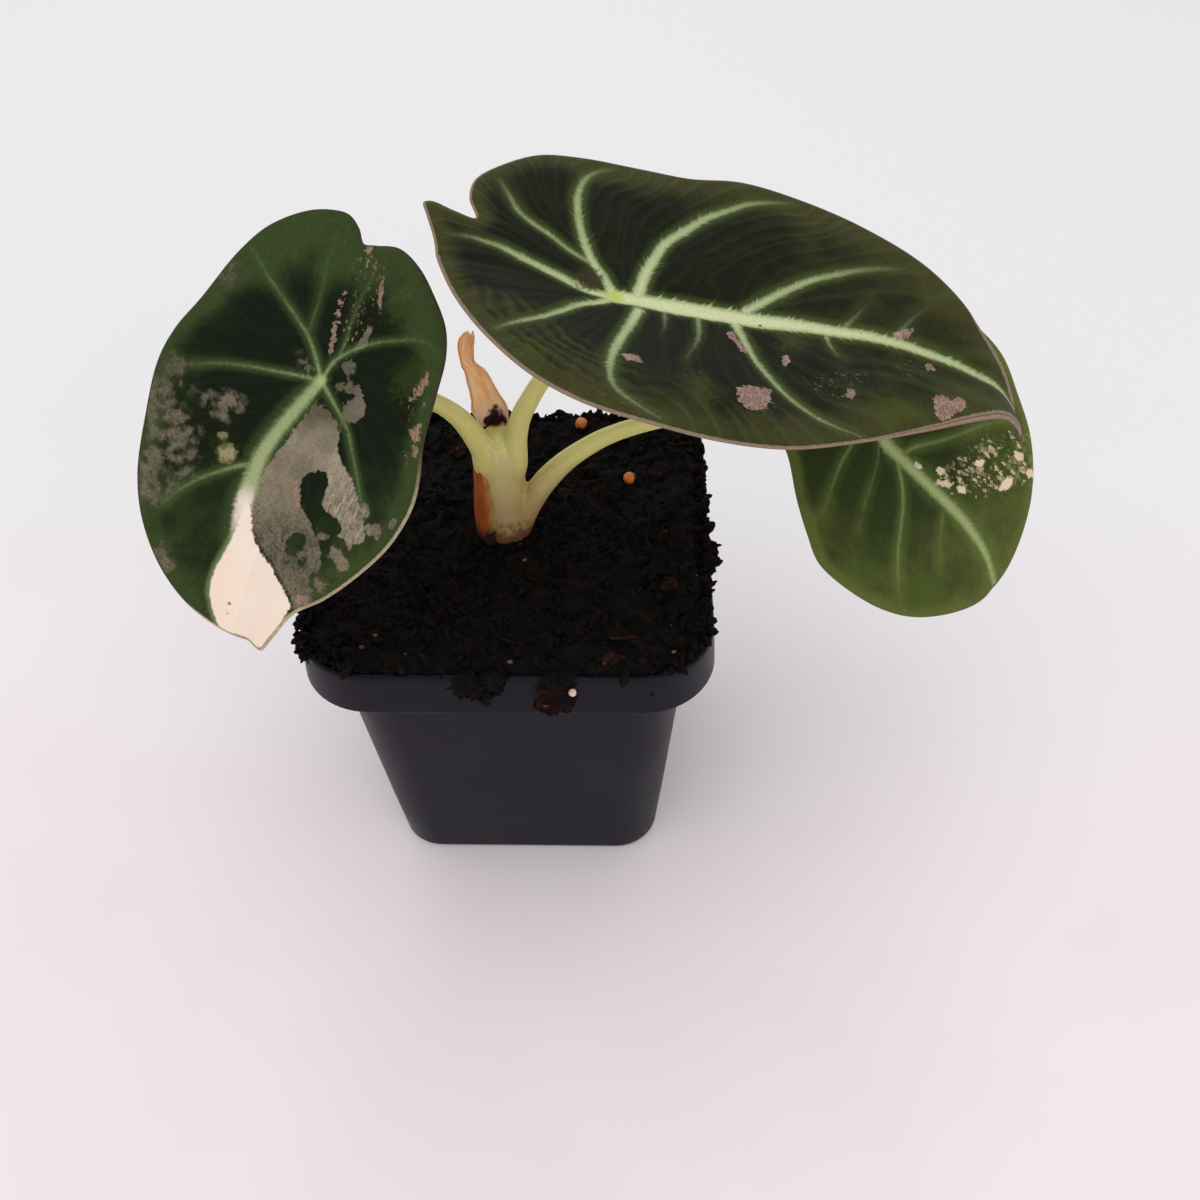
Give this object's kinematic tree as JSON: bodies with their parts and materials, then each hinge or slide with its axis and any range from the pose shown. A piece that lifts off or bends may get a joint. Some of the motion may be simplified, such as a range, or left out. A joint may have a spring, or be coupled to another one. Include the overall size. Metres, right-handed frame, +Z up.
{
  "type": "potted alocasia black velvet",
  "caption": "Small variegated black velvet alocasia with peltate, pale-veined velvety leaves, growing in bark soil in a square black nursery pot.",
  "frame": {"origin": "centre of the pot's foot, in the plane that it stands on", "axes": "+Z up; +X towards the tips of the two right-hand leaves, along the plant's greatest spread; -Y towards the pot's front"},
  "size_m": [0.1432, 0.0769, 0.1288],
  "materials": {
    "pot_plastic": "satin moulded plastic",
    "soil_mix": "damp, coarse, matt",
    "rhizome_skin": "rough, fibrous",
    "crown_flesh": "smooth, fleshy, translucent",
    "brown_sheath_skin": "papery, streaked",
    "dry_sheath_skin": "dry, papery",
    "petiole_flesh": "smooth, fleshy, translucent",
    "leaf_left_blade": "velvety, variegated cream and grey",
    "leaf_back_blade": "velvety, pale veins",
    "leaf_right_blade": "velvety, pale veins",
    "pellet_shell": "smooth, waxy",
    "perlite": "porous, matt",
    "bark": "rough, fibrous"
  },
  "bodies": {
    "root": {"pot": "pot_plastic", "soil": "soil_mix", "rhizome_and_roots": "rhizome_skin", "crown": "crown_flesh", "brown_sheath": "brown_sheath_skin", "withered_sheath": "dry_sheath_skin", "petiole_left": "petiole_flesh", "petiole_back": "petiole_flesh", "petiole_right": "petiole_flesh", "leaf_left": "leaf_left_blade", "leaf_back": "leaf_back_blade", "leaf_right": "leaf_right_blade", "fertiliser_pellet_1": "pellet_shell", "fertiliser_pellet_2": "pellet_shell", "perlite_bead": "perlite", "bark_chip_1": "bark", "bark_chip_2": "bark", "bark_chip_3": "bark", "bark_chip_4": "bark", "bark_chip_5": "bark", "bark_chip_rim": "bark"}
  },
  "joints": []
}
